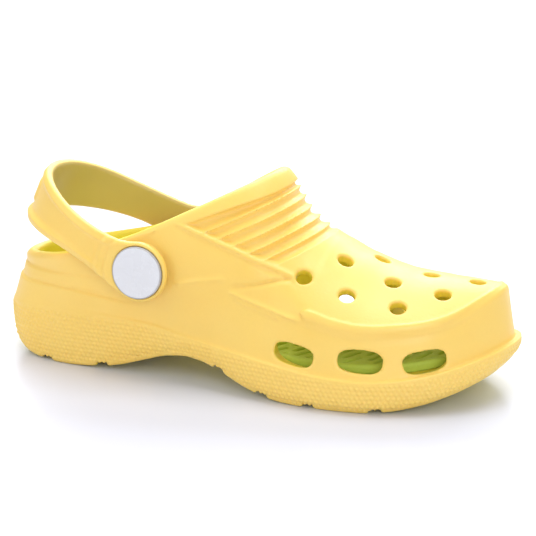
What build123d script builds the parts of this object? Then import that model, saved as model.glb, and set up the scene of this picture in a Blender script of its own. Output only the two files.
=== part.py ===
from build123d import *
import math
import os

# A moulded foam garden clog, right shoe, with a pivoting heel strap.
# Working frame while modelling (mm): x = 0 at the back of the heel and
# x = LENGTH at the toe tip, the outer side of the foot is -Y, the ground is z = 0.
# Every node is moved to the final frame (origin under the middle of the shoe) at the end.

# ---------------------------------------------------------------- driving dimensions
LENGTH = 255.0            # heel back to toe tip, over the sole band
WALL = 4.5                # upper wall thickness
VAMP_WALL = 4.5           # thickness over the toes and instep
INSOLE_T = 4.6            # removable footbed thickness
INSOLE_GAP = 0.6          # footbed to cavity wall
INSOLE_SEAT = 0.05        # footbed to cavity floor
RIB_PITCH = 6.0           # footbed ribs
RIB_DEPTH = 1.2

PIVOT_X, PIVOT_Z = 85.0, 51.675   # middle of the strap's pivot axis
PIVOT_ROLL = 2.154        # the axis drops toward the inner side of the foot by this angle
STRAP_TILT = 23.1         # the strap rises toward the back by this angle
STRAP_T = 4.3             # strap band thickness
STRAP_HALF_W = 43.2       # outer face of the strap arms
STRAP_REACH = 75.25       # pivot to the outside of the strap's back
STRAP_RING_R = 14.4       # round end around the rivet
STRAP_STRAIGHT = 12.0     # flat length of the arm before it starts to curve
STRAP_BORE_R = 4.27
WASHER_T = 1.15
WASHER_R = 11.0
WASHER_BORE_R = 4.35

POST_R = 4.2              # rivet post
HEAD_R = 12.45            # rivet head
HEAD_T = 1.7
DISC_R = 12.0             # plain disc let into the rivet head
DISC_T = 1.0
SOCKET_R = 8.5
SOCKET_T = 2.6
WALL_BORE_R = 4.25

HOLE_R = 3.75             # round holes over the toes
VENT_W, VENT_H = 18.0, 8.6   # side windows near the sole

# (x, y) of the round holes over the toes
TOP_HOLES = [(163.2, -30.4), (183.8, -29.6), (207.3, -26.8), (176.7, -11.7), (200.0, -12.5),
             (223.9, -12.4), (188.6, 6.5), (213.0, 5.2), (235.0, 5.8), (176.5, 22.0),
             (200.0, 21.5), (223.0, 20.5), (164.5, 33.0), (186.5, 33.5), (208.5, 31.5)]
# (x, y, z, direction of the outline there in degrees) of the side windows
VENTS = [(163.7, -47.3, 23.6, -7.0), (195.5, -46.2, 23.6, 9.0), (223.8, -34.6, 23.8, 33.0),
         (160.0, 41.5, 23.6, 6.0), (197.0, 43.3, 23.6, -5.0), (226.0, 38.5, 23.8, -26.0)]

# ---------------------------------------------------------------- outlines, 28 points each
BAND = [(0, 0), (4, -15), (15, -26.5), (35, -33), (60, -35), (85, -36), (110, -39.5), (140, -46),
        (170, -50), (195, -48.5), (215, -42), (232, -31.5), (246, -16), (253.5, -1), (255, 9),
        (252, 21), (244, 32), (230, 40), (210, 45), (188, 46.5), (165, 44.5), (140, 39.5),
        (112, 34), (85, 32.8), (60, 32.5), (35, 31), (15, 25), (4, 14)]
UPPER = [(8.5, 0), (11.5, -12.5), (20, -22), (36, -30), (60, -35.2), (85, -37.0), (110, -38.2),
         (140, -40.5), (168, -43), (192, -41.3), (209, -36.4), (224, -28.7), (238, -15),
         (245.8, -2), (247.5, 8), (245.5, 18), (237.5, 28), (223.5, 35.5), (205, 40), (186, 41.5),
         (165, 40), (140, 37.5), (110, 37.2), (85, 37.0), (60, 34.2), (36, 28.5), (20, 20.5),
         (11.5, 11.5)]

# side profiles (x, z)
BOTTOM = [(-12, 24), (0, 16.5), (3, 11), (9, 5.2), (18, 1.5), (28, 0), (44, 0), (52, 0.4), (60, 1.3),
          (66, 2.3), (72, 3.6), (84, 7.6), (94, 11.2), (106, 13.2), (116, 12.3), (128, 8.6), (138, 4.5),
          (149, 1.3), (160, 0.2), (168, 0), (180, 0), (200, 0), (212, 1.3), (224, 4), (236, 8), (246, 12.5),
          (252, 17), (262, 26)]
FLOOR = [(-12, 26), (15, 24.2), (35, 23.4), (60, 23.2), (85, 22.2), (105, 20.0), (125, 17.2),
         (145, 15.0), (165, 14.2), (190, 14.2), (210, 15.2), (230, 17.6), (248, 21), (270, 26)]
CREST = [(-20, 118), (40, 115.5), (60, 113), (80, 110.5), (100, 107.5), (120, 104.2), (132, 102.0),
         (139, 99.8), (143, 95.0), (147, 86.0), (150, 81.0), (155, 77.0), (161, 71.0), (167, 67.8),
         (173, 64.3), (179, 61.4), (185, 59.3), (191, 57.1), (197, 55.5), (203, 54.4), (209, 53.6),
         (215, 53.2), (221, 52.8), (233, 52.4), (245, 51.4), (275, 50.5)]
COLLAR = [(-25, 47.0), (5, 47.6), (16, 50.6), (28, 52.8), (39, 55.0), (57, 60.5), (76, 68.0),
          (91, 75), (110, 84.2), (127, 92.6), (136, 97.0), (143, 99.6)]
# the rim is lower on the inner side of the foot: (x, sideways slope, half width of the rim)
COLLAR_SKEW = [(-25, 0.020, 5), (5, 0.030, 8), (16, 0.050, 23), (28, 0.066, 29), (39, 0.073, 31),
               (57, 0.097, 34), (76, 0.106, 35.5), (91, 0.088, 34), (110, 0.058, 29), (127, 0.034, 21),
               (136, 0.018, 14), (143, 0.0, 1)]
# how fast the upper falls away from its crest line, 1/mm
DOME = [(-20, 0.030), (110, 0.0272), (130, 0.0265), (143, 0.0262), (149, 0.0197), (155, 0.0171),
        (161, 0.0136), (167, 0.0122), (173, 0.0108), (185, 0.0101), (197, 0.0093), (209, 0.0091),
        (221, 0.0100), (227, 0.0110), (233, 0.0132), (239, 0.0145), (275, 0.0160)]
CREST_Y = [(-20, 0), (100, 0), (140, 1), (200, 2), (225, 4), (250, 7)]

TREAD_GROOVES = [31.0, 61.0, 123.0, 145.0, 168.0, 200.0]
GROOVE_W, GROOVE_D = 4.4, 1.8


def interp(table, x):
    if x <= table[0][0]:
        return table[0][1]
    for (x0, v0), (x1, v1) in zip(table, table[1:]):
        if x <= x1:
            return v0 + (v1 - v0) * (x - x0) / (x1 - x0)
    return table[-1][1]


def inset(points, d):
    """The outline moved inward by d at every point, along its local normal."""
    n, out = len(points), []
    for i, (x, y) in enumerate(points):
        (xa, ya), (xb, yb) = points[i - 1], points[(i + 1) % n]
        tx, ty = xb - xa, yb - ya
        s = math.hypot(tx, ty)
        out.append((x - ty / s * d, y + tx / s * d))
    return out


def between(a, b, t):
    return [(xa + (xb - xa) * t, ya + (yb - ya) * t) for (xa, ya), (xb, yb) in zip(a, b)]


def ring(points, z):
    return Wire([Edge.make_spline([Vector(x, y, z) for x, y in points], periodic=True)])


def prism(points, z0, z1):
    return Solid.extrude(Face(ring(points, z0)), Vector(0, 0, z1 - z0))


def side_solid(wire, half=80.0):
    """A closed wire drawn in the XZ plane, swept across the whole width."""
    return Solid.extrude(Face(wire), Vector(0, 2 * half, 0))


def side_curve(points, half=80.0):
    return Edge.make_spline([Vector(x, -half, z) for x, z in points])


def side_poly(points, half=80.0):
    v = [Vector(x, -half, z) for x, z in points]
    return [Edge.make_line(a, b) for a, b in zip(v, v[1:])]


def smooth(table, x, w=6.0):
    """The table's value averaged over a short stretch, so that the surface has no kinks."""
    return sum(interp(table, x + w * k / 4.0) * c for k, c in
               ((-4, 1), (-3, 2), (-2, 3), (-1, 4), (0, 5), (1, 4), (2, 3), (3, 2), (4, 1))) / 25.0


def crest_height(x, y, drop=0.0):
    w = y - interp(CREST_Y, x)
    return smooth(CREST, x) - drop - smooth(DOME, x) * w * w


def crest_solid(drop, depth=140.0):
    """Everything under the domed top of the upper, lowered by drop."""
    rows = [[Vector(-16 + 6.0 * i, -60 + 12.0 * j, crest_height(-16 + 6.0 * i, -60 + 12.0 * j, drop))
             for j in range(11)] for i in range(49)]
    top = Face.make_surface_from_array_of_points(rows, tol=0.15, min_deg=3, max_deg=4)
    return Solid.extrude(top, Vector(0, 0, -depth))


def main(shape):
    """The largest solid of a boolean result."""
    solids = shape.solids() if not isinstance(shape, (list, ShapeList)) else [q for p in shape for q in p.solids()]
    return max(solids, key=lambda q: q.volume)


# ---------------------------------------------------------------- moulded body
low = Solid.make_loft([ring(inset(BAND, 3.4), -1.0), ring(inset(BAND, 1.6), 6.0), ring(inset(BAND, 0.2), 13.0),
                       ring(inset(BAND, 0.3), 20.0), ring(between(BAND, UPPER, 0.42), 26.5),
                       ring(between(BAND, UPPER, 0.68), 34.0), ring(between(BAND, UPPER, 0.90), 45.0),
                       ring(UPPER, 57.0), ring(UPPER, 63.0), ring(UPPER, 70.0), ring(UPPER, 95.0),
                       ring(UPPER, 122.0)])
outer = main(low)

top_outer = crest_solid(0.0)
body = main(outer.intersect(top_outer))
print('outer', outer.volume, body.volume, body.is_valid)

cavity = Solid.make_loft([ring(inset(UPPER, WALL + 2.4), 9.0), ring(inset(UPPER, WALL + 1.2), 24.0),
                          ring(inset(UPPER, WALL), 44.0), ring(inset(UPPER, WALL), 52.0),
                          ring(inset(UPPER, WALL), 60.0), ring(inset(UPPER, WALL), 90.0),
                          ring(inset(UPPER, WALL), 125.0)])
cavity = main(cavity.intersect(crest_solid(VAMP_WALL + 0.6, 170.0)))
floor_cut = side_solid(Wire([side_curve(FLOOR)] + side_poly([(270, 26), (270, 130), (-12, 130), (-12, 26)])))
cavity = main(cavity.intersect(floor_cut))
print('cavity', cavity.volume, cavity.is_valid)
body = main(body.cut(cavity))

# under side: rocker, raised arch, tread grooves
under = side_solid(Wire(side_poly(BOTTOM + [(262, -20), (-12, -20), (-12, 24)])))
body = main(body.cut(under))
for gx in TREAD_GROOVES:
    gz = interp(BOTTOM, gx)
    body = main(body.cut(Pos(gx, 0, gz) * Box(GROOVE_W, 160, 2 * GROOVE_D)))

# foot opening
def collar_wire(y):
    """The rim line continued to a plane at y, closed off far above the shoe."""
    p = [(x, z - s * (y + w)) for (x, z), (_, s, w) in zip(COLLAR, COLLAR_SKEW)]
    v = [Vector(x, y, z) for x, z in p]
    a, b, c, d = v[-1], Vector(143, y, 140), Vector(-25, y, 140), v[0]
    return Wire([Edge.make_spline(v), Edge.make_line(a, b), Edge.make_line(b, c), Edge.make_line(c, d)])


collar = Solid.make_loft([collar_wire(-80.0), collar_wire(80.0)], ruled=True)
body = main(body.cut(collar))
print('collar', body.volume, body.is_valid)

# round holes over the toes, square to the surface
for hx, hy in TOP_HOLES:
    w = hy - interp(CREST_Y, hx)
    hz = crest_height(hx, hy)
    sx = (crest_height(hx + 4, hy) - crest_height(hx - 4, hy)) / 8.0
    sy = -2 * interp(DOME, hx) * w
    tilt = Plane(origin=(hx, hy, hz), z_dir=(-sx, -sy, 1))
    body = body.cut(tilt * Pos(0, 0, -1) * Cylinder(HOLE_R, 22))
    body = main(body)


def window(x, y, z, turn):
    """A round-ended window through the side wall, square to the outline."""
    with BuildSketch(Plane.XZ) as s:
        SlotOverall(VENT_W, VENT_H)
    return Pos(x, y, z) * Rot(0, 0, turn) * extrude(s.sketch, amount=16, both=True)


for vent in VENTS:
    body = main(body.cut(window(*vent)))

# rivet bores with a flat seat on the outside for the washer and inside for the socket
AXIS = Pos(PIVOT_X, 0, PIVOT_Z) * Rot(-PIVOT_ROLL, 0, 0)  # Y runs along the pivot axis
bore = AXIS * Rot(90, 0, 0) * Cylinder(WALL_BORE_R, 120)
body = main(body.cut(bore))
SEAT_OUT = STRAP_HALF_W - STRAP_T - WASHER_T - 0.30       # outer seat plane
SEAT_IN = SEAT_OUT - 4.0                                  # inner seat plane
for side in (-1, 1):
    body = main(body.cut(AXIS * Pos(0, side * (SEAT_OUT + 5.0), 0) * Rot(90, 0, 0) * Cylinder(15.8, 10.0)))
    pad = AXIS * Pos(0, side * (SEAT_OUT + SEAT_IN) / 2, 0) * Rot(90, 0, 0) * \
        Cylinder(12.6, SEAT_OUT - SEAT_IN)
    pad = pad.cut(bore)
    body = main(body.fuse(pad))
    body = main(body.cut(AXIS * Pos(0, side * (SEAT_IN - 3.0), 0) * Rot(90, 0, 0) * Cylinder(11.0, 6.0)))

print("body", body.volume, body.is_valid, len(body.solids()))

# ---------------------------------------------------------------- footbed
sole_plan = prism(inset(UPPER, WALL + 2.4 + INSOLE_GAP), 5.0, 60.0)
top = []
x = 6.0
while x < 252.0:
    z = interp(FLOOR, x) + INSOLE_T
    if 60 < x < 236:
        top += [(x, z), (x + RIB_PITCH * 0.5, z), (x + RIB_PITCH * 0.62, z - RIB_DEPTH),
                (x + RIB_PITCH * 0.88, z - RIB_DEPTH)]
    else:
        top += [(x, z)]
    x += RIB_PITCH
top += [(262, interp(FLOOR, 262) + INSOLE_T)]
seat = [(x, z + INSOLE_SEAT) for x, z in FLOOR]
upper_edge = side_poly([(270, seat[-1][1]), (270, top[-1][1])] + top[::-1] + [(-12, top[0][1]), (-12, seat[0][1])])
insole = main(sole_plan.intersect(side_solid(Wire([side_curve(seat)] + upper_edge))))
print("insole", insole.volume, insole.is_valid, len(insole.solids()))

# ---------------------------------------------------------------- heel strap
def strap_outline(t):
    """Plan curve of the strap (pivot at the origin, back toward -X), moved in by t."""
    a, b = STRAP_REACH - STRAP_STRAIGHT - t, STRAP_HALF_W - t
    pts = []
    for i in range(0, 25):
        s = math.pi * i / 24
        c, d = math.sin(s), math.cos(s)
        p = 2 / 2.07
        pts.append((-STRAP_STRAIGHT - a * abs(c) ** p, -b * math.copysign(abs(d) ** p, d)))
    return pts


def strap_plan():
    o, i = strap_outline(0.0), strap_outline(STRAP_T)
    f = 18.0
    out = Edge.make_spline([Vector(x, y, 0) for x, y in o], tangents=[Vector(-1, 0, 0), Vector(1, 0, 0)])
    inn = Edge.make_spline([Vector(x, y, 0) for x, y in i], tangents=[Vector(-1, 0, 0), Vector(1, 0, 0)])
    o0, o1, i0, i1 = o[0], o[-1], i[0], i[-1]
    e = [out,
         Edge.make_line((o1[0], o1[1], 0), (f, o1[1], 0)), Edge.make_line((f, o1[1], 0), (f, i1[1], 0)),
         Edge.make_line((f, i1[1], 0), (i1[0], i1[1], 0)), inn,
         Edge.make_line((i0[0], i0[1], 0), (f, i0[1], 0)), Edge.make_line((f, i0[1], 0), (f, o0[1], 0)),
         Edge.make_line((f, o0[1], 0), (o0[0], o0[1], 0))]
    return Face(Wire(e))


slab = Solid.extrude(strap_plan().moved(Location((0, 0, -25))), Vector(0, 0, 50))
# side view of the strap: a round end about the pivot, a waist, and a deeper back
SIDE_TOP = [(-6.5, 12.85), (-10, 11.05), (-16, 9.15), (-24, 8.35), (-34, 8.1), (-46, 8.6), (-60, 10.0), (-76, 11.5),
            (-86, 12.2)]
SIDE_LOW = [(-86, -17.8), (-76, -16.1), (-60, -13.2), (-46, -11.2), (-34, -10.3), (-24, -10.6), (-16, -11.8),
            (-10, -13.1), (-3, -14.084)]
arc = Edge.make_three_point_arc(Vector(-3, -80, -14.084), Vector(STRAP_RING_R, -80, 0), Vector(-6.5, -80, 12.85))
side = Face(Wire([side_curve(SIDE_TOP), side_curve(SIDE_LOW), arc,
                  Edge.make_line((-86, -80, 12.2), (-86, -80, -17.8))]))
strap = main(slab.intersect(Solid.extrude(side, Vector(0, 160, 0))))
strap = strap.cut(Rot(90, 0, 0) * Cylinder(STRAP_BORE_R, 120))
# shallow recess in each round end that takes the rivet head
for s in (-1, 1):
    strap = strap.cut(Pos(0, s * (STRAP_HALF_W + 1.0 - 1.2), 0) * Rot(90, 0, 0) * Cylinder(HEAD_R + 0.3, 2.0))
# raised pad on the outside of the back
pad_side = Pos(-70, 0, 0) * Box(30, 40, 25)
pad_slab = Solid.extrude(Face(ring([(-STRAP_REACH - 1.2, 0), (-STRAP_REACH + 1.2, -14.5), (-STRAP_REACH + 6.0, -17.0),
                                    (-STRAP_REACH + 2.6, 0), (-STRAP_REACH + 6.0, 17.0),
                                    (-STRAP_REACH + 1.2, 14.5)], -11.5)), Vector(0, 0, 19.5))
strap = main(strap.fuse(pad_slab))
strap = AXIS * Rot(0, STRAP_TILT, 0) * strap
print("strap", strap.volume, strap.is_valid, len(strap.solids()))


# ---------------------------------------------------------------- pivot hardware
def pivot_place(shape, side):
    """Shapes are drawn on the +Z axis pointing out of the shoe from the middle plane."""
    return AXIS * Rot(-90 * side, 0, 0) * shape


HEAD_Z = STRAP_HALF_W - 1.2 + 0.30        # back of the rivet head
post_end = SEAT_IN - SOCKET_T + 0.4
caps, sockets, washers, discs = {}, {}, {}, {}
for name, side in (("right", -1), ("left", 1)):
    head = Pos(0, 0, HEAD_Z + HEAD_T / 2) * Cylinder(HEAD_R, HEAD_T)
    head = fillet(head.edges().group_by(Axis.Z)[-1], 0.35)
    recess = Pos(0, 0, HEAD_Z + HEAD_T - DISC_T / 2 + 0.5) * Cylinder(DISC_R + 0.05, DISC_T + 1.0)
    head = head.cut(recess)
    post = Pos(0, 0, (HEAD_Z + 0.2 + post_end) / 2) * Cylinder(POST_R, HEAD_Z + 0.2 - post_end)
    cap = head.fuse(post)
    caps[name] = pivot_place(cap, side)
    disc = Pos(0, 0, HEAD_Z + HEAD_T - DISC_T + 0.02 + 0.60) * Cylinder(DISC_R, 1.2)
    disc = fillet(disc.edges().group_by(Axis.Z)[-1], 0.4)
    discs[name] = pivot_place(disc, side)
    w_mid = SEAT_OUT + 0.10 + WASHER_T / 2
    washer = Pos(0, 0, w_mid) * Cylinder(WASHER_R, WASHER_T)
    washer = washer.cut(Pos(0, 0, w_mid) * Cylinder(WASHER_BORE_R, 5))
    washers[name] = pivot_place(washer, side)
    s_mid = SEAT_IN - 0.02 - SOCKET_T / 2
    socket = Pos(0, 0, s_mid) * Cylinder(SOCKET_R, SOCKET_T)
    socket = fillet(socket.edges().group_by(Axis.Z)[0], 1.2)
    socket = socket.cut(Pos(0, 0, s_mid) * Cylinder(POST_R + 0.03, 8))
    sockets[name] = pivot_place(socket, side)

# ---------------------------------------------------------------- final frame and files
bb_body = body.bounding_box()
bb_strap = strap.bounding_box()
bb_disc = [discs[n].bounding_box() for n in discs]
xs = [bb_body.min.X, bb_body.max.X, bb_strap.min.X, bb_strap.max.X]
ys = [bb_body.min.Y, bb_body.max.Y, bb_strap.min.Y, bb_strap.max.Y] + [b.min.Y for b in bb_disc] + [b.max.Y for b in bb_disc]
zs = [bb_body.min.Z, bb_strap.min.Z]
shift = Pos(-(min(xs) + max(xs)) / 2, -(min(ys) + max(ys)) / 2, -min(zs))
print("shift", shift.position)
print("extent", max(xs) - min(xs), max(ys) - min(ys), max(bb_body.max.Z, bb_strap.max.Z) - min(zs))

nodes = {"clog_body": body, "insole": insole, "heel_strap": strap}
for n in ("right", "left"):
    nodes["rivet_cap_" + n] = caps[n]
    nodes["rivet_socket_" + n] = sockets[n]
    nodes["strap_washer_" + n] = washers[n]
    nodes["button_disc_" + n] = discs[n]

os.makedirs("parts", exist_ok=True)
for node, shape in nodes.items():
    shape = shift * shape
    solids = shape.solids()
    print(node, len(solids), round(shape.volume, 2), shape.is_valid, shape.bounding_box().size)
    export_step(solids[0] if len(solids) == 1 else shape, f"parts/{node}.step")
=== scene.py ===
import bpy
import math
import numpy as np
from mathutils import Matrix


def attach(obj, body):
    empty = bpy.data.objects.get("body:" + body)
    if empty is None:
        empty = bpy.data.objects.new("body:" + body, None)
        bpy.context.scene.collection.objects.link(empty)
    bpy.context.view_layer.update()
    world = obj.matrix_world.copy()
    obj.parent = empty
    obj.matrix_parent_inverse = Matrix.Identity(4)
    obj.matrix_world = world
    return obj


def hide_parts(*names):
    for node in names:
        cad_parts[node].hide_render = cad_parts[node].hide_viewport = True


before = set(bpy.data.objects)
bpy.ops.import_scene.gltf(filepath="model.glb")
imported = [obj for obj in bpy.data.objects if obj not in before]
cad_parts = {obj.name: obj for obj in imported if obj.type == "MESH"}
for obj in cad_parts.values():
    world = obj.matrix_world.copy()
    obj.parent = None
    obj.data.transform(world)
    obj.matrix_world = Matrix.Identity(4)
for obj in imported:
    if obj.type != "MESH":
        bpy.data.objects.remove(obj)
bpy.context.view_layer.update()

# Everything below is drawn in millimetres in a working frame with x = 0 at the back of the
# heel, then moved to the row frame by SHIFT and scaled to metres.
SHIFT = np.array([-127.295, 1.8811, 0.0])
PIVOT = np.array([85.0, 0.0, 51.675])     # middle of the strap's axis
ROLL, TILT = math.radians(2.154), math.radians(23.1)

# ------------------------------------------------------------------ outlines and profiles
BAND = [(0, 0), (4, -15), (15, -26.5), (35, -33), (60, -35), (85, -36), (110, -39.5), (140, -46),
        (170, -50), (195, -48.5), (215, -42), (232, -31.5), (246, -16), (253.5, -1), (255, 9),
        (252, 21), (244, 32), (230, 40), (210, 45), (188, 46.5), (165, 44.5), (140, 39.5),
        (112, 34), (85, 32.8), (60, 32.5), (35, 31), (15, 25), (4, 14)]
UPPER = [(8.5, 0), (11.5, -12.5), (20, -22), (36, -30), (60, -35.2), (85, -37.0), (110, -38.2),
         (140, -40.5), (168, -43), (192, -41.3), (209, -36.4), (224, -28.7), (238, -15),
         (245.8, -2), (247.5, 8), (245.5, 18), (237.5, 28), (223.5, 35.5), (205, 40), (186, 41.5),
         (165, 40), (140, 37.5), (110, 37.2), (85, 37.0), (60, 34.2), (36, 28.5), (20, 20.5),
         (11.5, 11.5)]
BOTTOM = [(-12, 24), (0, 16.5), (3, 11), (9, 5.2), (18, 1.5), (28, 0), (44, 0), (52, 0.4), (60, 1.3),
          (66, 2.3), (72, 3.6), (84, 7.6), (94, 11.2), (106, 13.2), (116, 12.3), (128, 8.6), (138, 4.5),
          (149, 1.3), (160, 0.2), (168, 0), (180, 0), (200, 0), (212, 1.3), (224, 4), (236, 8), (246, 12.5),
          (252, 17), (262, 26)]
FLOOR = [(-12, 26), (15, 24.2), (35, 23.4), (60, 23.2), (85, 22.2), (105, 20.0), (125, 17.2),
         (145, 15.0), (165, 14.2), (190, 14.2), (210, 15.2), (230, 17.6), (248, 21), (270, 26)]
CREST = [(-20, 118), (40, 115.5), (60, 113), (80, 110.5), (100, 107.5), (120, 104.2), (132, 102.0),
         (139, 99.8), (143, 95.0), (147, 86.5), (150, 81.5), (155, 77.0), (161, 71.4), (167, 67.8),
         (173, 64.3), (179, 61.4), (185, 59.3), (191, 57.1), (197, 55.5), (203, 54.4), (209, 53.6),
         (215, 53.2), (221, 52.8), (233, 52.4), (245, 51.4), (275, 50.5)]
DOME = [(-20, 0.030), (110, 0.0272), (130, 0.0265), (143, 0.0262), (149, 0.0197), (155, 0.0171),
        (161, 0.0136), (167, 0.0122), (173, 0.0108), (185, 0.0101), (197, 0.0093), (209, 0.0091),
        (221, 0.0100), (227, 0.0110), (233, 0.0132), (239, 0.0145), (275, 0.0160)]
CREST_Y = [(-20, 0), (100, 0), (140, 1), (200, 2), (225, 4), (250, 7)]
COLLAR = [(-25, 47.0), (5, 47.6), (16, 50.6), (28, 52.8), (39, 55.0), (57, 60.5), (76, 68.0),
          (91, 75), (110, 84.2), (127, 92.6), (136, 97.0), (143, 100.4), (275, 166.0)]
COLLAR_SKEW = [(-25, 0.020), (5, 0.030), (16, 0.050), (28, 0.066), (39, 0.073), (57, 0.097), (76, 0.106),
               (91, 0.088), (110, 0.058), (127, 0.034), (136, 0.018), (143, 0.0), (300, 0.0)]
COLLAR_HALF = [(-25, 5), (5, 8), (16, 23), (28, 29), (39, 31), (57, 34), (76, 35.5), (91, 34), (110, 29), (127, 21),
               (136, 14), (143, 1), (300, 1)]
BAND_TOP = [(-12, 24.0), (0, 24.4), (13, 26.2), (32, 28.2), (58, 28.2), (89, 26.8), (101, 24.6), (118, 22.8),
            (136, 21.0), (157, 18.6), (177, 16.5), (198, 15.6), (217, 17.2), (234, 20.6), (249, 25.0),
            (256, 27.4), (275, 30)]
STEP = [(-12, 2.3), (0, 2.3), (30, 1.9), (70, 1.3), (110, 1.1), (140, 1.4), (170, 2.0), (205, 2.4), (240, 2.9), (262, 3.1)]
WALL_TOP = [(-12, 46), (30, 46), (60, 48), (150, 47), (170, 46), (190, 42), (206, 42), (222, 45), (236, 49), (246, 54), (270, 55)]
TOP_HOLES = [(163.2, -30.4), (183.8, -29.6), (207.3, -26.8), (176.7, -11.7), (200.0, -12.5),
             (223.9, -12.4), (188.6, 6.5), (213.0, 5.2), (235.0, 5.8), (176.5, 22.0),
             (200.0, 21.5), (223.0, 20.5), (164.5, 33.0), (186.5, 33.5), (208.5, 31.5)]
HOLE_R = 3.75
# side windows: x, y, z, turn of the outline and roll in degrees
VENTS = [(163.7, -47.3, 23.9, -7.0, -9.0), (195.5, -46.2, 23.6, 9.0, -3.0), (223.8, -34.6, 23.8, 33.0, 8.0),
         (160.0, 41.5, 23.9, 6.0, -9.0), (197.0, 43.3, 23.6, -5.0, -3.0), (226.0, 38.5, 23.8, -26.0, 8.0)]
WALL = 4.5
SEAT_OUT, SEAT_IN = 37.45, 33.45


def table(points, sigma):
    """A smooth function of x from a short table."""
    a = np.array(points, float)
    xs = np.arange(-40.0, 300.0, 0.5)
    v = np.interp(xs, a[:, 0], a[:, 1])
    if sigma > 0:
        n = int(sigma * 8)
        k = np.exp(-0.5 * (np.arange(-n, n + 1) * 0.5 / sigma) ** 2)
        v = np.convolve(np.pad(v, n, mode="reflect", reflect_type="odd"), k / k.sum(), "valid")
    return lambda x: np.interp(x, xs, v)


f_bottom, f_floor, f_crest = table(BOTTOM, 2.2), table(FLOOR, 4.0), table(CREST, 1.6)
f_dome, f_cy, f_collar = table(DOME, 3.0), table(CREST_Y, 6.0), table(COLLAR, 3.0)
f_skew, f_half = table(COLLAR_SKEW, 3.0), table(COLLAR_HALF, 3.0)
f_bt, f_step, f_wt = table(BAND_TOP, 4.0), table(STEP, 6.0), table(WALL_TOP, 5.0)


def closed_curve(points, n=14):
    """Centripetal Catmull-Rom through a closed list of points."""
    P = np.array(points, float)
    Q = np.vstack([P[-1], P, P[0], P[1]])
    out = []
    for i in range(1, len(Q) - 2):
        p0, p1, p2, p3 = Q[i - 1], Q[i], Q[i + 1], Q[i + 2]
        t1 = np.linalg.norm(p1 - p0) ** 0.5
        t2 = t1 + np.linalg.norm(p2 - p1) ** 0.5
        t3 = t2 + np.linalg.norm(p3 - p2) ** 0.5
        t = np.linspace(t1, t2, n, endpoint=False)[:, None]
        a1 = (t1 - t) / t1 * p0 + t / t1 * p1
        a2 = (t2 - t) / (t2 - t1) * p1 + (t - t1) / (t2 - t1) * p2
        a3 = (t3 - t) / (t3 - t2) * p2 + (t - t2) / (t3 - t2) * p3
        b1 = (t2 - t) / t2 * a1 + t / t2 * a2
        b2 = (t3 - t) / (t3 - t1) * a2 + (t - t1) / (t3 - t1) * a3
        out.append((t2 - t) / (t2 - t1) * b1 + (t - t1) / (t2 - t1) * b2)
    return np.vstack(out)


def poly_distance(poly, X, Y, closed=True):
    """Distance from points to a polyline, the arc length of the nearest point, and inside."""
    A = poly
    B = np.roll(poly, -1, axis=0)
    if not closed:
        A, B = A[:-1], B[:-1]
    seg = B - A
    L = np.hypot(seg[:, 0], seg[:, 1])
    S = np.concatenate([[0], np.cumsum(L)[:-1]])
    x, y = X.ravel(), Y.ravel()
    best = np.full(x.shape, 1e9)
    arc = np.zeros(x.shape)
    inside = np.zeros(x.shape, bool)
    for (ax, ay), (bx, by), (sx, sy), l, s in zip(A, B, seg, L, S):
        t = np.clip(((x - ax) * sx + (y - ay) * sy) / (l * l), 0, 1)
        d = (x - ax - t * sx) ** 2 + (y - ay - t * sy) ** 2
        m = d < best
        best = np.where(m, d, best)
        arc = np.where(m, s + t * l, arc)
        if closed and ay != by:
            c = ((ay > y) != (by > y)) & (x < (bx - ax) * (y - ay) / (by - ay) + ax)
            inside ^= c
    return np.sqrt(best).reshape(X.shape), arc.reshape(X.shape), inside.reshape(X.shape)


class Map2:
    """A field sampled on a 1 mm grid and read back with smooth cubic interpolation."""
    def __init__(self, fn, x0, x1, y0, y1, h=1.0):
        self.x0, self.y0, self.h = x0, y0, h
        gx, gy = np.arange(x0, x1 + h, h), np.arange(y0, y1 + h, h)
        X, Y = np.meshgrid(gx, gy, indexing="ij")
        self.v = fn(X, Y)

    def __call__(self, x, y):
        fx, fy = (x - self.x0) / self.h, (y - self.y0) / self.h
        nx, ny = self.v.shape
        fx, fy = np.clip(fx, 1, nx - 2.001), np.clip(fy, 1, ny - 2.001)
        ix, iy = np.floor(fx).astype(int), np.floor(fy).astype(int)
        tx, ty = fx - ix, fy - iy

        def w(t):
            return (0.5 * (-t + 2 * t * t - t ** 3), 0.5 * (2 - 5 * t * t + 3 * t ** 3),
                    0.5 * (t + 4 * t * t - 3 * t ** 3), 0.5 * (-t * t + t ** 3))
        wx, wy = w(tx), w(ty)
        out = 0
        for a in range(4):
            row = 0
            for b in range(4):
                row = row + wy[b] * self.v[np.minimum(ix + a - 1, nx - 1), np.minimum(iy + b - 1, ny - 1)]
            out = out + wx[a] * row
        return out


def signed(poly):
    def fn(X, Y):
        d, _, i = poly_distance(poly, X, Y)
        return np.where(i, -d, d)
    return fn


band_poly, upper_poly = closed_curve(BAND), closed_curve(UPPER)
m_band = Map2(signed(band_poly), -16, 272, -64, 62)
m_upper = Map2(signed(upper_poly), -16, 272, -64, 62)


def smax(a, b, k):
    h = np.maximum(k - np.abs(a - b), 0.0) / k
    return np.maximum(a, b) + h * h * k * 0.25


def smin(a, b, k):
    return -smax(-a, -b, k)


def step(a, b, x):
    t = np.clip((x - a) / (b - a), 0, 1)
    return t * t * (3 - 2 * t)


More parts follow.
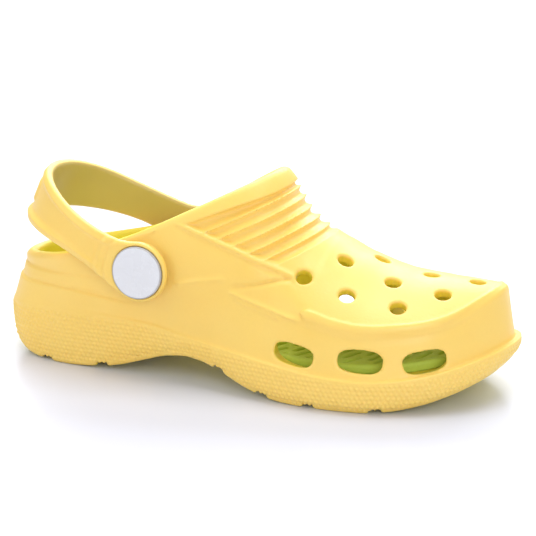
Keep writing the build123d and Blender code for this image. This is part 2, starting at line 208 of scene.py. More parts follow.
def line_field(x, z, pts):
    """Distance in the side view from (x, z) to a polyline, and the fraction along it."""
    P = np.array(pts, float)
    best, frac = None, None
    L = np.hypot(*(P[1:] - P[:-1]).T)
    S = np.concatenate([[0], np.cumsum(L)]) / L.sum()
    for i in range(len(P) - 1):
        (ax, az), (bx, bz) = P[i], P[i + 1]
        sx, sz = bx - ax, bz - az
        t = np.clip(((x - ax) * sx + (z - az) * sz) / (sx * sx + sz * sz), 0, 1)
        d = np.hypot(x - ax - t * sx, z - az - t * sz)
        f = S[i] + t * (S[i + 1] - S[i])
        if best is None:
            best, frac = d, f
        else:
            m = d < best
            best, frac = np.where(m, d, best), np.where(m, f, frac)
    return best, frac


def crest_at(x, y):
    w = y - f_cy(x)
    return f_crest(x) - f_dome(x) * w * w


def collar_at(x, y):
    """Height of the rim surface; it drops toward the inner side of the foot."""
    return f_collar(x) - f_skew(x) * (y + f_half(x))


def axis_frame(x, y, z):
    """Coordinates in the strap's pivot frame, Y along its axis."""
    dz = z - PIVOT[2]
    c, s = math.cos(ROLL), math.sin(ROLL)
    return x - PIVOT[0], y * c - dz * s, y * s + dz * c


def from_axis(P):
    c, s = math.cos(ROLL), math.sin(ROLL)
    return np.stack([P[:, 0] + PIVOT[0], P[:, 1] * c + P[:, 2] * s, -P[:, 1] * s + P[:, 2] * c + PIVOT[2]], 1)


# where each round hole starts and which way it runs
HOLES = []
for hx, hy in TOP_HOLES:
    hz = float(crest_at(hx, hy))
    gx = float(crest_at(hx + 3, hy) - crest_at(hx - 3, hy)) / 6
    gy = float(crest_at(hx, hy + 3) - crest_at(hx, hy - 3)) / 6
    n = np.array([-gx, -gy, 1.0])
    HOLES.append((np.array([hx, hy, hz]), n / np.linalg.norm(n)))

RIDGES = [12.3, 17.6, 23.1, 28.6, 34.1]


def rib_profile(u, ub):
    """Depth of the cove between ribs, 0 on a rib and 1 in the middle of a cove; u runs down from the collar."""
    d = np.zeros_like(u)
    edges = [None] + RIDGES + [38.2]
    for i in range(len(RIDGES) + 1):
        a = ub if i == 0 else RIDGES[i - 1]
        b = RIDGES[i] if i < len(RIDGES) else 38.4
        t = (u - a) / (b - a)
        v = np.where((t > 0) & (t < 1), np.sin(np.pi * np.clip(t, 0, 1)) ** 0.8, 0)
        d = np.maximum(d, v * (0.75 if i == len(RIDGES) else 1.0))
    return d


def diag_line(x):
    """Lower edge of the ribbed panel in the side view."""
    return np.interp(x, [60, 95, 107, 119, 131.5, 143, 154, 165, 200], [92, 78.5, 75.2, 71.4, 67.7, 63.6, 59.5, 55.2, 41.0])


def outer_field(x, y, z, Db, Du):
    """Signed distance (about) of the shoe's outside, before the foot opening is cut."""
    bt, zb = f_bt(x), f_bottom(x)
    lw, s1 = f_wt(x), f_step(x)
    side = np.where(y < 0, -1.0, 1.0)
    t = (z - bt) / (lw - bt)
    e = np.maximum(t, 0.0)
    e = 1.0 - np.maximum(1.0 - e, 0.0) ** 1.15
    # layered steps round the heel
    fade1 = 1 - step(58, 92, x)
    fade2 = 1 - step(36, 70, x)
    l1 = np.interp(x, [-5, 16, 34, 49, 80], [36.5, 37.0, 38.0, 37.6, 35.0])
    l2 = np.interp(x, [-5, 16, 34, 49, 80], [43.0, 43.3, 44.1, 45.2, 47.0])
    out = 0.95 * fade1 * step(0.45, -0.45, z - l1) + 0.75 * fade2 * step(0.45, -0.45, z - l2)
    out = out - 0.35 * fade1 * np.exp(-((z - l1 - 0.9) / 0.7) ** 2) - 0.3 * fade2 * np.exp(-((z - l2 - 0.9) / 0.7) ** 2)
    Dup = (Db + s1) * (1 - e) + Du * e - out
    q = np.clip((z - zb) / 9.0, 0, 1)
    Dl = Db + 3.2 * (1 - q) ** 2.4 + 0.25 * step(3.5, 2.3, z - zb)
    low = smax(Dl, z - bt, 1.0)
    wall = smin(low, Dup, 0.5)
    cz = crest_at(x, y)
    w = y - f_cy(x)
    hy = -2 * f_dome(x) * w
    hx = (f_crest(x + 1) - f_crest(x - 1)) * 0.5
    hx = np.clip(hx, -1.6, 1.6)
    T = (z - cz) / np.sqrt(1 + hx * hx + hy * hy)
    kt = 9.0 - 6.6 * step(150, 176, x)
    F = smax(wall, T, kt)
    # rim of the vamp, a thin plate that stands a little over the wall
    fade = step(158, 170, x)
    toe = step(226, 247, x)
    P = smax(Du - 1.0 + 2.6 * toe, T - 0.25, 1.3 + 3.5 * toe)
    P = smax(P, -(T + 1.9), 0.8)
    F = F + 0.55 * np.exp(-((T + 3.4) / 1.0) ** 2) * fade * step(-4, -2, Du) * (1 - toe)
    F = smin(F, P + (1 - fade) * 4, 0.5)
    bead = np.hypot(Du - 0.1 + 2.4 * toe, T + 0.25) - 1.35 + 0.5 * toe
    F = smin(F, bead + (1 - fade) * 4, 0.45)
    # collar band and ribs over the instep
    K = (z - collar_at(x, y)) / np.sqrt(1 + 0.25)
    u = -K
    ub = np.interp(x, [88, 143], [3.5, 8.8])
    band = step(96, 134, x) * step(ub + 0.5, ub - 0.7, u)
    F = F - (1.25 - 1.15 * step(131, 141, x)) * band
    pocket = step(-0.2, 1.2, z - diag_line(x)) * step(ub - 0.2, ub + 0.5, u) * step(98, 108, x)
    F = F + 2.35 * rib_profile(u, ub) * pocket
    # lower edge of the ribbed panel: a fine raised line
    dl = (z - diag_line(x) + 0.9) * 0.93
    F = F - 0.6 * np.exp(-(dl / 0.85) ** 2) * step(98, 106, x) * step(166, 154, x)
    F = F + 0.35 * np.exp(-((dl + 2.0) / 1.0) ** 2) * step(98, 106, x) * step(166, 154, x)
    return F, T, K


# soft moulded lines on the sides in the side view: (points, height, width)
SEAMS = [([(101, 48.0), (112.3, 50.9), (120.9, 52.6), (129, 54.2)], 0.8, 1.2),
         ([(129.2, 49.9), (137.6, 51.5), (145.3, 53.0), (152.4, 54.7), (159, 56.2)], -1.1, 1.0),
         ([(128.0, 48.6), (137.9, 45.9), (146.4, 43.3), (155.8, 41.3), (167.5, 39.6)], 1.0, 0.9),
         ([(131.0, 45.6), (139.5, 43.0), (148.0, 40.6), (158.0, 38.6)], 0.65, 0.8)]


def body_field(p, Db=None, Du=None):
    x, y, z = p
    if Db is None:
        Db, Du = m_band(x, y), m_upper(x, y)
    F, T, K = outer_field(x, y, z, Db, Du)
    ay = np.abs(y)
    for pts, height, width in SEAMS:
        d, fr = line_field(x, z, pts)
        F = F - height * np.exp(-(d / width) ** 2) * step(0, 0.12, fr) * step(1, 0.85, fr) * step(14, 20, ay)
    Fo = F
    # underside and tread
    zb = f_bottom(x)
    F = smax(F, zb - z, 2.0)
    for gx, gw in ((31, 2.2), (61, 2.4), (123, 2.0), (145, 2.2), (168, 2.2), (200, 2.6)):
        bow = gx + 0.0035 * y * y - 4.0
        g = np.maximum(np.abs(x - bow) - gw, z - (zb + 1.8))
        F = smax(F, -g, 1.8)
    # fine tread inside the outline: bowed bars and a long channel
    tread = 0.5 + 0.5 * np.sin(2 * math.pi * (x - 0.006 * y * y) / 5.5)
    field = step(-7.5, -10.0, Db) * step(3.0, 1.0, z - zb)
    F = F + 0.8 * step(0.45, 0.75, tread) * field
    # inside
    inset = WALL + 2.5 * step(30, 24, z)
    C = smax(Du + inset, T + WALL + 0.2, 5.0)
    C = smax(C, f_floor(x) - z, 1.5)
    C = smax(C, Fo + 3.0, 1.0)
    F = smax(F, -C, 0.8)
    # foot opening, with a rolled rim
    rim = np.hypot(np.clip(Du + 2.2, -6, 6), K + 2.4) - 2.9
    rim = rim + 3 * step(30, 62, x)
    F = smin(F, rim, 1.6)
    F = smax(F, K, 3.0)
    # round holes
    for c, n in HOLES:
        dx, dy, dz = x - c[0], y - c[1], z - c[2]
        a = dx * n[0] + dy * n[1] + dz * n[2]
        rr = np.sqrt(np.maximum(dx * dx + dy * dy + dz * dz - a * a, 1e-9)) - HOLE_R
        F = smax(F, -np.maximum(rr, np.abs(a + 1) - 9.5), 1.1)
    # side windows
    for vx, vy, vz, turn, roll in VENTS:
        c, s = math.cos(math.radians(turn)), math.sin(math.radians(turn))
        sx = (x - vx) * c + (y - vy) * s
        nn = -(x - vx) * s + (y - vy) * c
        rc, rs = math.cos(math.radians(roll)), math.sin(math.radians(roll))
        a, b = sx * rc + (z - vz) * rs, -sx * rs + (z - vz) * rc
        # the window widens inward, so that its rim is thin
        deep = np.clip(np.where(vy < 0, nn, -nn) - 1.0, 0, 12) * 0.34
        v = ((np.abs(a) / (9.4 + deep)) ** 2.7 + (np.abs(b) / (4.6 + deep)) ** 2.7) ** (1 / 2.7) - 1
        F = smax(F, -np.maximum(v * 4.6, np.abs(nn) - 13), 1.0)
    # strap seat, rivet bore and socket seat
    ax, ay, az = axis_frame(x, y, z)
    r = np.hypot(ax, az)
    ay = np.abs(ay)
    F = smax(F, -np.maximum(r - 15.8, SEAT_OUT - ay), 0.7)
    F = smin(F, np.maximum(np.maximum(r - 12.6, SEAT_IN - ay), ay - SEAT_OUT), 0.6)
    F = smax(F, -np.maximum(r - 11.0, np.maximum(ay - SEAT_IN, 27.0 - ay)), 0.6)
    F = smax(F, -np.maximum(r - 4.3, 20.0 - ay), 0.3)
    return F, Fo


# ------------------------------------------------------------------ surface from a field
def surface_nets(f, lo, h):
    inside = f < 0
    tot = np.zeros(tuple(n - 1 for n in f.shape), np.uint8)
    for i in (0, 1):
        for j in (0, 1):
            for k in (0, 1):
                tot += inside[i:f.shape[0] - 1 + i, j:f.shape[1] - 1 + j, k:f.shape[2] - 1 + k]
    mask = (tot > 0) & (tot < 8)
    idx = np.full(mask.shape, -1, np.int64)
    ci, cj, ck = np.nonzero(mask)
    idx[ci, cj, ck] = np.arange(len(ci))
    acc = np.zeros((len(ci), 3))
    cnt = np.zeros(len(ci))
    for ax in range(3):
        o1, o2 = [a for a in range(3) if a != ax]
        for p in (0, 1):
            for q in (0, 1):
                A = [0, 0, 0]
                A[o1], A[o2] = p, q
                B = list(A)
                B[ax] = 1
                fa = f[ci + A[0], cj + A[1], ck + A[2]]
                fb = f[ci + B[0], cj + B[1], ck + B[2]]
                m = (fa < 0) != (fb < 0)
                t = np.where(m, fa / np.where(m, fa - fb, 1), 0)
                pos = np.zeros((len(ci), 3))
                pos[:, ax] = t
                pos[:, o1], pos[:, o2] = p, q
                acc += pos * m[:, None]
                cnt += m
    V = np.array(lo) + h * (np.c_[ci, cj, ck] + acc / cnt[:, None])
    quads = []
    for ax in range(3):
        o1, o2 = [(1, 2), (2, 0), (0, 1)][ax]
        sl_a = [slice(None)] * 3
        sl_b = [slice(None)] * 3
        sl_a[ax], sl_b[ax] = slice(0, -1), slice(1, None)
        for o in (o1, o2):
            sl_a[o], sl_b[o] = slice(1, -1), slice(1, -1)
        a, b = inside[tuple(sl_a)], inside[tuple(sl_b)]
        ch = np.nonzero(a != b)
        base = [None] * 3
        base[ax] = ch[ax]
        base[o1], base[o2] = ch[o1] + 1, ch[o2] + 1

        def cell(d1, d2):
            c = [None] * 3
            c[ax] = base[ax]
            c[o1], c[o2] = base[o1] + d1, base[o2] + d2
            return idx[c[0], c[1], c[2]]
        q = np.stack([cell(-1, -1), cell(0, -1), cell(0, 0), cell(-1, 0)], 1)
        ins = a[ch]
        q[~ins] = q[~ins][:, ::-1]
        quads.append(q)
    Q = np.vstack(quads)
    return V, Q[(Q >= 0).all(1)]


def project(V, fn, rounds=3, eps=0.12, limit=0.7):
    """Moves points onto the field's zero surface."""
    for _ in range(rounds):
        f0 = fn(V)
        G = np.stack([(fn(V + np.eye(3)[a] * eps) - fn(V - np.eye(3)[a] * eps)) / (2 * eps) for a in range(3)], 1)
        g2 = np.maximum((G * G).sum(1), 0.08)
        d = -(f0 / g2)[:, None] * G
        n = np.linalg.norm(d, axis=1, keepdims=True)
        V = V + d * np.minimum(1.0, limit / np.maximum(n, 1e-9))
    return V


def relax(V, Q, fn, rounds=2):
    """Evens out the point spacing, then returns the points to the surface."""
    n = len(V)
    for _ in range(rounds):
        acc = np.zeros((n, 3))
        cnt = np.zeros(n)
        for i in range(4):
            a, b = Q[:, i], Q[:, (i + 1) % 4]
            for ax in range(3):
                acc[:, ax] += np.bincount(a, V[b, ax], n) + np.bincount(b, V[a, ax], n)
            cnt += np.bincount(a, minlength=n) + np.bincount(b, minlength=n)
        M = acc / np.maximum(cnt, 1)[:, None]
        V = V + 0.5 * (M - V)
        V = project(V, fn, 1)
    return V


def refine(V, Q, pick, fn):
    """Splits the picked quads in four; their neighbours take the new edge points as they are."""
    n = len(V)
    E = np.vstack([np.sort(Q[:, [i, (i + 1) % 4]], axis=1) for i in range(4)])
    key = E[:, 0] * n + E[:, 1]
    uniq, inv = np.unique(key, return_inverse=True)
    inv = inv.reshape(4, -1).T
    used = np.zeros(len(uniq), bool)
    used[inv[pick].ravel()] = True
    mid_id = np.full(len(uniq), -1)
    mid_id[used] = n + np.arange(used.sum())
    ua, ub = uniq[used] // n, uniq[used] % n
    mids = (V[ua] + V[ub]) / 2
    cents = V[Q[pick]].mean(1)
    cid = n + len(mids) + np.arange(pick.sum())
    V2 = np.vstack([V, mids, cents])
    V2[n:] = project(V2[n:], fn, 2)
    q, m = Q[pick], mid_id[inv[pick]]
    fine = np.vstack([np.stack([q[:, i], m[:, i], cid, m[:, (i + 3) % 4]], 1) for i in range(4)])
    rest, rm = Q[~pick], mid_id[inv[~pick]]
    plain = (rm < 0).all(1)
    odd = []
    for qq, mm in zip(rest[~plain], rm[~plain]):
        face = []
        for i in range(4):
            face.append(int(qq[i]))
            if mm[i] >= 0:
                face.append(int(mm[i]))
        odd.append(face)
    return V2, np.vstack([rest[plain], fine]), odd


def to_object(name, V, quads, odd=(), attrs=None, local=None):
    W = V if local is None else local(V)
    W = (W + SHIFT) / 1000.0
    me = bpy.data.meshes.new(name)
    nq = len(quads)
    loops = np.concatenate([quads.ravel()] + ([np.concatenate([np.array(f) for f in odd])] if len(odd) else []))
    sizes = np.concatenate([np.full(nq, 4), np.array([len(f) for f in odd], int)]) if len(odd) else np.full(nq, 4)
    starts = np.concatenate([[0], np.cumsum(sizes)[:-1]])
    me.vertices.add(len(W))
    me.vertices.foreach_set("co", W.astype(np.float32).ravel())
    me.loops.add(len(loops))
    me.loops.foreach_set("vertex_index", loops.astype(np.int32))
    me.polygons.add(len(sizes))
    me.polygons.foreach_set("loop_start", starts.astype(np.int32))
    me.polygons.foreach_set("use_smooth", np.ones(len(sizes), bool))
    me.update(calc_edges=True)
    me.validate()
    for key, vals in (attrs or {}).items():
        at = me.attributes.new(key, "FLOAT", "POINT")
        at.data.foreach_set("value", vals.astype(np.float32))
    ob = bpy.data.objects.new(name, me)
    bpy.context.scene.collection.objects.link(ob)
    return ob


def grid_field(lo, hi, h, fn3):
    gx, gy, gz = [np.arange(lo[a], hi[a] + h, h) for a in range(3)]
    out = np.empty((len(gx), len(gy), len(gz)), np.float32)
    for i in range(0, len(gx), 24):
        out[i:i + 24] = fn3(gx[i:i + 24], gy, gz)
    return out


# ------------------------------------------------------------------ moulded body
def body_grid(gx, gy, gz):
    X, Y = np.meshgrid(gx, gy, indexing="ij")
    Db, Du = m_band(X, Y)[:, :, None], m_upper(X, Y)[:, :, None]
    x, y, z = gx[:, None, None], gy[None, :, None], gz[None, None, :]
    x = np.broadcast_to(x, (len(gx), len(gy), 1))
    y = np.broadcast_to(y, (len(gx), len(gy), 1))
    return body_field((x + 0 * z, y + 0 * z, z + 0 * x), Db, Du)[0]


def body_points(V):
    return body_field((V[:, 0], V[:, 1], V[:, 2]))[0]


H = 0.9
lo = np.array([-3.0, -53.0, -1.5])
hi = np.array([258.0, 50.0, 104.0])
f = grid_field(lo, hi, H, body_grid)
V, Q = surface_nets(f, lo, H)
V = project(V, body_points, 2)
V = relax(V, Q, body_points, 1)
V = project(V, body_points, 2)


def normals_of(V, fn, eps=0.15):
    G = np.stack([fn(V + np.eye(3)[a] * eps) - fn(V - np.eye(3)[a] * eps) for a in range(3)], 1)
    return G / np.maximum(np.linalg.norm(G, axis=1, keepdims=True), 1e-9)


def zones(P):
    """Which parts of the surface carry fine relief: the sole band's grain and the instep ribs."""
    x, y, z = P.T
    db = m_band(x, y)
    band = (z < f_bt(x) - 0.6) & (z > f_bottom(x) + 1.2) & (db > -2.6) & (z < 34)
    u = -(z - collar_at(x, y)) / 1.118
    ribs = (x > 98) & (z > diag_line(x) - 3) & (u > 1.5) & (u < 41) & (z > crest_at(x, y) - 9)
    return band, ribs


odd = []
if True:
    band, ribs = zones(V[Q].mean(1))
    V, Q, odd = refine(V, Q, band | ribs, body_points)
print("body", len(V), len(Q))
Fo = body_field((V[:, 0], V[:, 1], V[:, 2]))[1]
# inside surfaces of the moulding; the material paints them with a greener shade tone (painted shade)
inner = step(-0.5, -1.4, Fo)

# raised grain on the sole band: rows of small round bumps
xb, yb_, zb_ = V.T
sel = (zb_ < f_bt(xb) - 1.0) & (zb_ > f_bottom(xb) + 1.8) & (m_band(xb, yb_) > -3.0) & (inner < 0.2)
idx = np.nonzero(sel)[0]
_, arc, _ = poly_distance(band_poly[::2], V[idx, 0], V[idx, 1])
PITCH = 2.4
row = np.round((zb_[idx] - 2.0) / (PITCH * 0.866))
along = arc / PITCH + 0.5 * (row % 2)
da = (along - np.round(along)) * PITCH
dz = zb_[idx] - 2.0 - row * PITCH * 0.866
bump = np.maximum(0.0, 1.0 - (np.hypot(da, dz) / 1.02) ** 2) ** 1.3
edge = step(0, 1.2, f_bt(xb[idx]) - 1.2 - zb_[idx])
V[idx] += normals_of(V[idx], body_points) * (0.60 * bump * edge)[:, None]

clog = to_object("clog_moulding", V, Q, odd, {"inner": inner})
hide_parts("clog_body")
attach(clog, "clog")

# ------------------------------------------------------------------ heel strap
STRAP_T, HALF_W, REACH, STRAIGHT = 4.3, 43.2, 75.25, 12.0
STRAP_TOP = [(-6.5, 12.85), (-10, 11.05), (-16, 9.15), (-24, 8.35), (-34, 8.1), (-46, 8.6), (-60, 10.0), (-76, 11.5),
             (-90, 12.6)]
STRAP_LOW = [(-90, -18.4), (-76, -16.1), (-60, -13.2), (-46, -11.2), (-34, -10.3), (-24, -10.6), (-16, -11.8),
             (-10, -13.1), (-3, -14.084)]


def open_curve(points, n=12):
    P = np.array(points, float)
    P = np.vstack([2 * P[0] - P[1], P, 2 * P[-1] - P[-2]])
    out = []
    for i in range(1, len(P) - 2):
        p0, p1, p2, p3 = P[i - 1], P[i], P[i + 1], P[i + 2]
        for t in np.linspace(0, 1, n, endpoint=False):
            out.append(0.5 * (2 * p1 + (p2 - p0) * t + (2 * p0 - 5 * p1 + 4 * p2 - p3) * t * t
                              + (3 * p1 - p0 - 3 * p2 + p3) * t ** 3))
    out.append(P[-2])
    return np.array(out)


def strap_plan():
    s = np.linspace(0, math.pi, 181)
    c, d = np.sin(s), np.cos(s)
    p = 2 / 2.07
    x = -STRAIGHT - (REACH - STRAIGHT) * np.abs(c) ** p
    y = -HALF_W * np.sign(d) * np.abs(d) ** p
    return np.vstack([np.c_[x, y], [[30.0, HALF_W], [30.0, -HALF_W]]])


a0, a1 = math.atan2(12.85, -6.5), math.atan2(-14.084, -3.0)
angles = np.linspace(a1, a0, 60)
ring_arc = 14.4 * np.c_[np.cos(angles), np.sin(angles)]
side_poly = np.vstack([open_curve(STRAP_LOW)[:-1], ring_arc, open_curve(STRAP_TOP)[1:]])
m_plan = Map2(signed(strap_plan()), -82, 22, -50, 50, 1.0)
m_side = Map2(signed(side_poly), -84, 22, -24, 20, 0.5)


def strap_field(x, y, h, detail=True):
    """Strap in its own frame: pivot at the origin, back toward -x, h up."""
    D, S = m_plan(x, y), m_side(x, h)
    D = np.where(x > -11.9, np.abs(y) - HALF_W, D)
    swell = 0.0
    if detail:
        arm = step(-15, -22, x)
        # a raised border inside both edges and a slightly sunk field between them
        swell = 0.50 * np.exp(-((S + 3.2) / 0.70) ** 2) * arm - 0.45 * step(-3.9, -5.2, S) * arm
        # the lower border of the back stands proud
        low = -np.interp(x, [-90, -76, -60, -46, -34], [18.4, 16.1, 13.2, 11.2, 10.3])
        swell = swell + 0.8 * step(-38, -58, x) * step(6.2, 4.2, h - low)
        # plain raised pad on the back
        pad = ((np.abs(y) / 17.0) ** 4 + (np.abs(h + 1.8) / 6.6) ** 4) ** 0.25
        swell = swell + 1.1 * step(1.0, 0.84, pad) * step(-50, -60, x)
        # creases round the rivet end
        r = np.hypot(x, h)
        out = step(-4, -10, x)
        swell = swell - 0.55 * np.exp(-((r - 18.4) / 0.75) ** 2) * out
        swell = swell + 0.30 * np.exp(-((r - 21.0) / 0.8) ** 2) * out
        swell = swell - 0.35 * np.exp(-((r - 23.4) / 0.7) ** 2) * out
    outer = D - swell
    band = smax(outer, -D - STRAP_T, 1.9)
    F = smax(band, S, 2.3)
    r = np.hypot(x, h)
    ay = np.abs(y)
    F = smax(F, -np.maximum(r - 12.75, HALF_W - 1.2 - ay), 0.5)
    F = smax(F, -(r - 4.3), 0.3)
    return F


def strap_points(V):
    return strap_field(V[:, 0], V[:, 1], V[:, 2])


def strap_grid(gx, gy, gz):
    X, Y = np.meshgrid(gx, gy, indexing="ij")
    shape = (len(gx), len(gy), len(gz))
    X, Y, Z = [np.broadcast_to(a, shape) for a in (gx[:, None, None], gy[None, :, None], gz[None, None, :])]
    return strap_field(X, Y, Z)


h = 0.75
lo, hi = np.array([-79.0, -46.5, -20.0]), np.array([16.5, 46.5, 15.5])
f = grid_field(lo, hi, h, strap_grid)
SV, SQ = surface_nets(f, lo, h)
SV = project(SV, strap_points, 2)
SV = relax(SV, SQ, strap_points, 2)
SV = project(SV, strap_points, 2)
Dp = np.where(SV[:, 0] > -11.9, np.abs(SV[:, 1]) - HALF_W, m_plan(SV[:, 0], SV[:, 1]))
# inner face of the strap; the material paints it darker olive as painted shade
strap_inner_shade = step(-2.6, -3.9, Dp)
c, s = math.cos(TILT), math.sin(TILT)
W = np.stack([SV[:, 0] * c + SV[:, 2] * s, SV[:, 1], -SV[:, 0] * s + SV[:, 2] * c], 1)
strap = to_object("strap_moulding", from_axis(W), SQ, (), {"inner": strap_inner_shade})
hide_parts("heel_strap")
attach(strap, "strap")
print("strap", len(SV))

# ------------------------------------------------------------------ footbed
def bed_field(x, y, z):
    D = m_upper(x, y) + 7.5
    fl = f_floor(x)
    top = fl + 4.6
    # cupped heel edge and a low arch pad
    top = top + 0.9 * step(-9, -1, D) * step(70, 30, x)
    u = (z - top)
    F = smax(D, u, 1.6)
    F = smax(F, fl + 0.06 - z, 0.5)
    # rows of short curved slots
    xr = x + 0.010 * (y - 2) ** 2
    row = np.floor(xr / 6.0)
    gx = np.abs(xr - (row + 0.5) * 6.0) - 1.15
    seg = (y + 7.0 * (row % 2)) / 14.0
    gy = np.abs(seg - np.round(seg)) * 14.0 - 5.4
    slot = smax(smax(gx, gy, 1.6), -(u + 1.5), 0.4)
    slot = np.maximum(slot, D + 3.6)
    slot = slot + 4 * step(70, 60, x) + 4 * step(228, 236, x)
    F = smax(F, -slot, 0.7)
    # massage nubs under the heel
    a, b = (x - 6.0) / 7.0, y / 6.0
    ra = np.round(a)
    b = b + 0.5 * (ra % 2)
    d = np.hypot((a - ra) * 7.0, (b - np.round(b)) * 6.0)
    nub = np.maximum(0, 1 - (d / 2.3) ** 2)
    F = F - 0.85 * nub * step(-1.5, -0.5, u) * step(-4.5, -6.5, D) * step(62, 54, x)
    return F


def bed_points(V):
    return bed_field(V[:, 0], V[:, 1], V[:, 2])


def bed_grid(gx, gy, gz):
    shape = (len(gx), len(gy), len(gz))
    X, Y, Z = [np.broadcast_to(a, shape) for a in (gx[:, None, None], gy[None, :, None], gz[None, None, :])]
    return bed_field(X, Y, Z)


h = 0.8
lo, hi = np.array([12.0, -40.0, 12.0]), np.array([245.0, 39.0, 33.0])
f = grid_field(lo, hi, h, bed_grid)
BV, BQ = surface_nets(f, lo, h)
BV = project(BV, bed_points, 2)
BV = relax(BV, BQ, bed_points, 1)
BV = project(BV, bed_points, 2)
bed = to_object("footbed", BV, BQ)
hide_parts("insole")
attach(bed, "clog")
print("bed", len(BV))


# ------------------------------------------------------------------ materials
def material(name):
    m = bpy.data.materials.new(name)
    m.use_nodes = True
    nt = m.node_tree
    return m, nt, nt.nodes["Principled BSDF"]


def node(nt, kind, **props):
    n = nt.nodes.new(kind)
    for k, v in props.items():
        setattr(n, k, v)
    return n


def noise(nt, coord, scale, detail=3.0, rough=0.55):
    n = node(nt, "ShaderNodeTexNoise")
    n.inputs["Scale"].default_value = scale
    n.inputs["Detail"].default_value = detail
    n.inputs["Roughness"].default_value = rough
    nt.links.new(coord, n.inputs["Vector"])
    return n.outputs["Fac"]


def ramp(nt, fac, stops):
    n = node(nt, "ShaderNodeValToRGB")
    cr = n.color_ramp
    while len(cr.elements) < len(stops):
        cr.elements.new(0.5)
    for e, (p, c) in zip(cr.elements, stops):
        e.position = p
        e.color = (*c, 1)
    nt.links.new(fac, n.inputs["Fac"])
    return n.outputs["Color"]


def blend_colour(nt, fac, a, b):
    n = node(nt, "ShaderNodeMix", data_type="RGBA")
    for sock, v in ((n.inputs[0], fac), (n.inputs[6], a), (n.inputs[7], b)):
        if isinstance(v, tuple):
            sock.default_value = (*v, 1)
        elif isinstance(v, float):
            sock.default_value = v
        else:
            nt.links.new(v, sock)
    return n.outputs[2]


def spread(nt, fac, lo, hi, f0=0.3, f1=0.7):
    n = node(nt, "ShaderNodeMapRange")
    n.inputs["From Min"].default_value, n.inputs["From Max"].default_value = f0, f1
    n.inputs["To Min"].default_value, n.inputs["To Max"].default_value = lo, hi
    nt.links.new(fac, n.inputs["Value"])
    return n.outputs["Result"]


def bumps(nt, bsdf, layers):
    """Stacks bump layers, each (height socket, strength, distance in m)."""
    last = None
    for height, strength, dist in layers:
        n = node(nt, "ShaderNodeBump")
        n.inputs["Strength"].default_value = strength
        n.inputs["Distance"].default_value = dist
        nt.links.new(height, n.inputs["Height"])
        if last is not None:
            nt.links.new(last, n.inputs["Normal"])
        last = n.outputs["Normal"]
    nt.links.new(last, bsdf.inputs["Normal"])


def foam(name, light, deep, inside_shade_a, inside_shade_b):
    """Closed-cell moulded foam: fine skin grain, soft mottling, slightly worn gloss; surfaces flagged by the inner
    attribute take the inside colours, which are painted shade.
    """
    m, nt, b = material(name)
    tc = node(nt, "ShaderNodeTexCoord").outputs["Object"]
    broad = noise(nt, tc, 26.0, 2.0)
    fine = noise(nt, tc, 900.0, 2.0)
    grain = noise(nt, tc, 2600.0, 2.0, 0.6)
    skin = ramp(nt, broad, [(0.30, deep), (0.70, light)])
    speck = ramp(nt, fine, [(0.35, tuple(0.965 * v for v in light)), (0.65, light)])
    outside = blend_colour(nt, 0.35, skin, speck)
    # painted shade: where the inner attribute is set, the inside colours replace the outside colour
    inside = ramp(nt, broad, [(0.30, inside_shade_a), (0.70, inside_shade_b)])
    at = node(nt, "ShaderNodeAttribute", attribute_name="inner", attribute_type="GEOMETRY")
    nt.links.new(blend_colour(nt, at.outputs["Fac"], outside, inside), b.inputs["Base Color"])
    rough = noise(nt, tc, 60.0, 4.0)
    nt.links.new(spread(nt, rough, 0.36, 0.50), b.inputs["Roughness"])
    b.inputs["IOR"].default_value = 1.47
    b.inputs["Specular IOR Level"].default_value = 0.68
    b.inputs["Subsurface Weight"].default_value = 0.12
    b.inputs["Subsurface Radius"].default_value = (0.004, 0.0025, 0.0008)
    b.inputs["Subsurface Scale"].default_value = 1.0
    bumps(nt, b, [(grain, 0.10, 0.0002), (fine, 0.16, 0.0004), (broad, 0.10, 0.002)])
    return m


YELLOW, DEEP = (0.955, 0.655, 0.150), (0.950, 0.620, 0.120)
# the two inside colours are painted shade: a greener yellow for the cavity and hole walls of a moulding that is all one
# yellow foam
mat_body = foam("moulded_foam_yellow", YELLOW, DEEP, (0.92, 0.72, 0.075), (0.93, 0.76, 0.09))
clog.data.materials.append(mat_body)
# painted shade: the strap's inside colours are a darker olive that stands in for the shade on its inner face
mat_strap = foam("moulded_foam_strap_painted_shade", YELLOW, DEEP, (0.56, 0.43, 0.12), (0.60, 0.46, 0.14))
strap.data.materials.append(mat_strap)

# painted shade: the footbed's lime green stands in for the greenish shade seen inside the shoe
mat_bed, nt, b = material("footbed_foam_painted_shade_lime")
tc = node(nt, "ShaderNodeTexCoord").outputs["Object"]
broad, fine = noise(nt, tc, 30.0, 3.0), noise(nt, tc, 1100.0, 2.0)
nt.links.new(blend_colour(nt, spread(nt, fine, 0.0, 1.0), ramp(nt, broad, [(0.3, (0.50, 0.68, 0.09)), (0.7, (0.56, 0.74, 0.11))]),
                          (0.52, 0.68, 0.10)), b.inputs["Base Color"])
nt.links.new(spread(nt, noise(nt, tc, 80.0), 0.55, 0.70), b.inputs["Roughness"])
bumps(nt, b, [(fine, 0.35, 0.0003), (noise(nt, tc, 260.0, 3.0), 0.15, 0.0006)])
bed.data.materials.append(mat_bed)


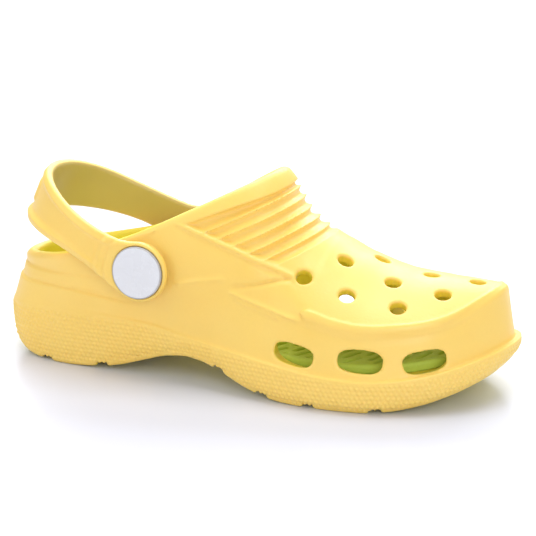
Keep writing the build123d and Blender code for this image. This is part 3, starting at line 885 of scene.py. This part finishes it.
def plastic(name, colour, low, high, grain=1500.0):
    """Injection-moulded plastic: faint turned rings from the tool, fine skin texture, handling marks."""
    m, nt, b = material(name)
    tc = node(nt, "ShaderNodeTexCoord").outputs["Object"]
    tint = noise(nt, tc, 45.0, 3.0)
    nt.links.new(ramp(nt, tint, [(0.25, tuple(0.975 * v for v in colour)), (0.6, colour)]), b.inputs["Base Color"])
    nt.links.new(spread(nt, noise(nt, tc, 220.0, 4.0), low, high), b.inputs["Roughness"])
    b.inputs["Specular IOR Level"].default_value = 0.5
    marks = node(nt, "ShaderNodeTexWave", wave_type="RINGS", rings_direction="SPHERICAL")
    marks.inputs["Scale"].default_value = 900.0
    marks.inputs["Distortion"].default_value = 0.4
    nt.links.new(tc, marks.inputs["Vector"])
    bumps(nt, b, [(noise(nt, tc, grain, 2.0), 0.08, 0.0001), (marks.outputs["Fac"], 0.03, 0.00005)])
    return m


# painted shadow: the cap's thin rim round the disc is grey to stand in for the shadow in the gap; the rivet itself is
# white plastic
finish = {"rivet_cap": plastic("rivet_cap_painted_shadow_grey", (0.50, 0.50, 0.51), 0.30, 0.42),
          "rivet_socket": plastic("rivet_plastic_white", (0.86, 0.86, 0.87), 0.34, 0.46),
          "strap_washer": plastic("washer_plastic_ivory", (0.82, 0.78, 0.66), 0.45, 0.58),
          "button_disc": plastic("disc_plastic_white", (0.76, 0.76, 0.775), 0.20, 0.32)}
for name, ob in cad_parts.items():
    for key, mat in finish.items():
        if name.startswith(key):
            for k in range(len(ob.data.materials)):
                ob.data.materials[k] = mat
            if not len(ob.data.materials):
                ob.data.materials.append(mat)

# ------------------------------------------------------------------ floor, light, camera
scene = bpy.context.scene
scene.view_settings.view_transform = "Standard"
me = bpy.data.meshes.new("floor")
me.from_pydata([(-6, -6, 0), (6, -6, 0), (6, 6, 0), (-6, 6, 0)], [], [(0, 1, 2, 3)])
floor = bpy.data.objects.new("floor", me)
scene.collection.objects.link(floor)
fm, nt, b = material("floor_white")
b.inputs["Base Color"].default_value = (0.69, 0.72, 0.83, 1)
b.inputs["Roughness"].default_value = 0.30
b.inputs["Specular IOR Level"].default_value = 0.25
me.materials.append(fm)

world = bpy.data.worlds.new("world")
scene.world = world
world.use_nodes = True
world.node_tree.nodes["Background"].inputs[0].default_value = (1, 1, 1, 1)
world.node_tree.nodes["Background"].inputs[1].default_value = 0.58


def area(name, loc, target, size, power):
    li = bpy.data.lights.new(name, "AREA")
    li.shape = "RECTANGLE"
    li.size, li.size_y = size
    li.energy = power
    ob = bpy.data.objects.new(name, li)
    loc, target = np.array(loc, float), np.array(target, float)
    back = (loc - target) / np.linalg.norm(loc - target)
    up = np.array([0, 0, 1.0]) if abs(back[2]) < 0.95 else np.array([0, 1.0, 0])
    r = np.cross(up, back)
    r /= np.linalg.norm(r)
    u = np.cross(back, r)
    ob.matrix_world = Matrix([[r[0], u[0], back[0], loc[0]], [r[1], u[1], back[1], loc[1]],
                              [r[2], u[2], back[2], loc[2]], [0, 0, 0, 1]])
    scene.collection.objects.link(ob)
    return ob


area("key", (0.02, 0.15, 1.10), (0.02, 0, 0.03), (0.9, 0.6), 7.0)
area("back", (-0.25, 1.25, 0.95), (0.02, 0, 0.04), (1.8, 1.0), 27.0)
area("front", (0.70, -1.00, 0.55), (0.03, 0, 0.04), (0.7, 0.6), 4.8)
area("side", (-0.9, -0.6, 0.55), (-0.03, 0, 0.04), (0.6, 0.6), 2.2)

az, el, dist = math.radians(22.0), math.radians(16.5), 1000.0
target = np.array([132.07, 2.895, 48.28])
back = np.array([math.sin(az) * math.cos(el), -math.cos(az) * math.cos(el), math.sin(el)])
right = np.array([math.cos(az), math.sin(az), 0.0])
up = np.cross(back, right)
pos = (target + back * dist + SHIFT) / 1000.0
cam_data = bpy.data.cameras.new("camera")
cam_data.lens = 2099.26 / 536 * 36
cam_data.sensor_width = 36
cam_data.clip_start, cam_data.clip_end = 0.01, 50
cam = bpy.data.objects.new("camera", cam_data)
cam.matrix_world = Matrix([[right[0], up[0], back[0], pos[0]], [right[1], up[1], back[1], pos[1]],
                           [right[2], up[2], back[2], pos[2]], [0, 0, 0, 1]])
scene.collection.objects.link(cam)
scene.camera = cam
